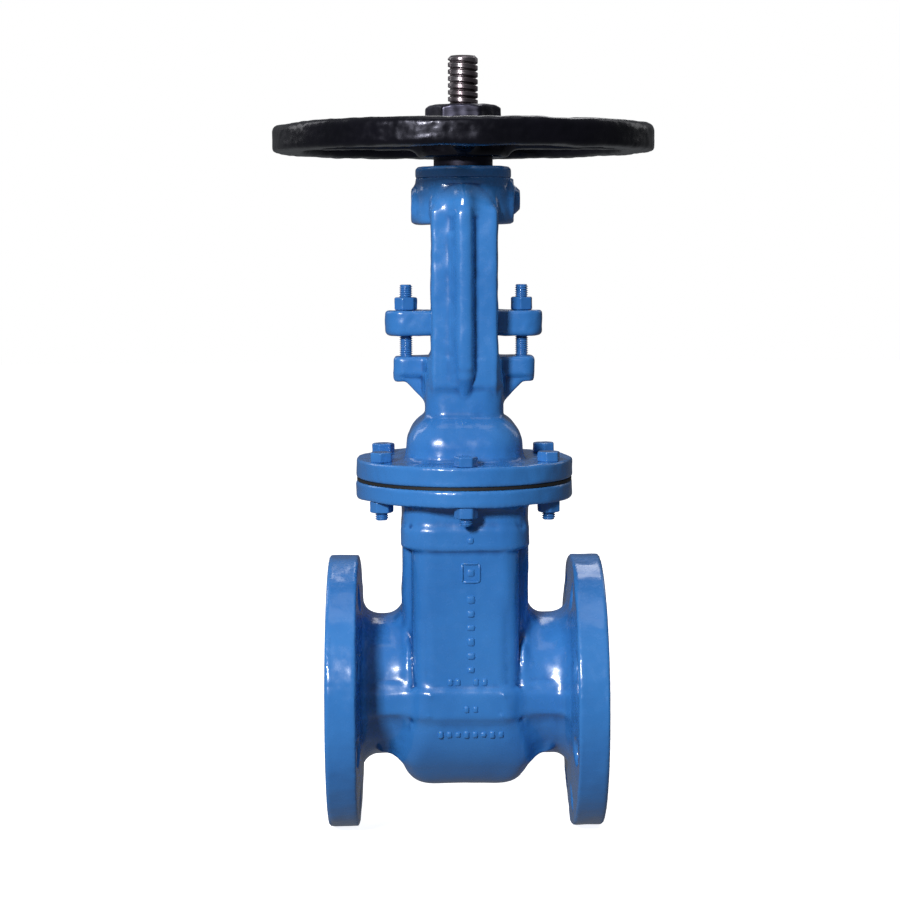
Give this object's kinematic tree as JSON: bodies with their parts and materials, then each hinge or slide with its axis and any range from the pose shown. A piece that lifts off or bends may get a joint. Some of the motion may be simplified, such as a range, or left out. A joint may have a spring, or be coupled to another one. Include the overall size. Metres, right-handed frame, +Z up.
{
  "type": "gate valve",
  "caption": "Flanged wedge gate valve with a rising stem, outside yoke, bolted gland and non-rising handwheel, shown shut.",
  "frame": {"origin": "where the pipe's axis crosses the stem's axis, at the middle of the shut wedge", "axes": "+X along the pipe from inlet to outlet, +Z up the stem to the handwheel, +Y away from the front yoke arm"},
  "size_m": [0.28, 0.28, 0.569],
  "materials": {
    "blue_enamel": "gloss blue enamel over cast iron, lightly uneven",
    "blue_fasteners": "gloss blue enamel over steel fasteners",
    "black_enamel": "gloss black enamel over rough cast iron",
    "blackened_steel": "dark phosphated steel under thin black paint",
    "stem_steel": "turned stainless steel, machined thread",
    "bronze": "machined bronze",
    "grey_iron": "machined and cast grey iron",
    "gasket_fibre": "black compressed fibre sheet",
    "graphite": "braided graphite"
  },
  "bodies": {
    "housing": {"body": "blue_enamel", "seat_ring_left": "bronze", "seat_ring_right": "bronze", "bonnet_gasket": "gasket_fibre", "bonnet": "blue_enamel", "bonnet_bolts": "blue_fasteners", "bonnet_nuts": "blue_fasteners", "backseat_bush": "bronze", "packing_rings": "graphite", "gland_studs": "blue_fasteners", "sleeve_bush": "bronze", "lower_thrust_washer": "bronze", "upper_thrust_washer": "bronze", "sleeve_retainer": "blue_enamel", "grease_plug": "blue_fasteners"},
    "wheel": {"handwheel": "black_enamel", "yoke_sleeve": "blackened_steel", "wheel_key": "blackened_steel", "wheel_nut": "blackened_steel"},
    "gate": {"stem": "stem_steel", "wedge": "grey_iron", "wedge_face_ring_left": "bronze", "wedge_face_ring_right": "bronze"},
    "gland": {"gland_flange": "blue_enamel", "gland_follower": "bronze"},
    "left_gland_nut": {"gland_nut_left": "blue_fasteners"},
    "right_gland_nut": {"gland_nut_right": "blue_fasteners"}
  },
  "joints": [
    {"name": "wheel_turn", "type": "hinge", "parent": "housing", "child": "wheel", "pos_m": [0, 0, 0.37], "axis": [0, 0, 1], "range_deg": [0, 6480]},
    {"name": "stem_lift", "type": "slide", "parent": "housing", "child": "gate", "axis": [0, 0, 1], "range_m": [0, 0.09]},
    {"name": "gland_take_up", "type": "slide", "parent": "housing", "child": "gland", "axis": [0, 0, -1], "range_m": [0, 0.005], "deforming": ["packing_rings"]},
    {"name": "left_gland_nut_turn", "type": "hinge", "parent": "gland", "child": "left_gland_nut", "pos_m": [-0.0427, 0, 0.287], "axis": [0, 0, -1], "range_deg": [0, 1134]},
    {"name": "right_gland_nut_turn", "type": "hinge", "parent": "gland", "child": "right_gland_nut", "pos_m": [0.0427, 0, 0.287], "axis": [0, 0, -1], "range_deg": [0, 1134]}
  ],
  "couplings": [
    {"joint": "stem_lift", "follows": "wheel_turn", "m_per_rad": 0.00079577},
    {"joint": "left_gland_nut_turn", "follows": "gland_take_up", "rad_per_m": 3957.9},
    {"joint": "right_gland_nut_turn", "follows": "gland_take_up", "rad_per_m": 3957.9}
  ]
}
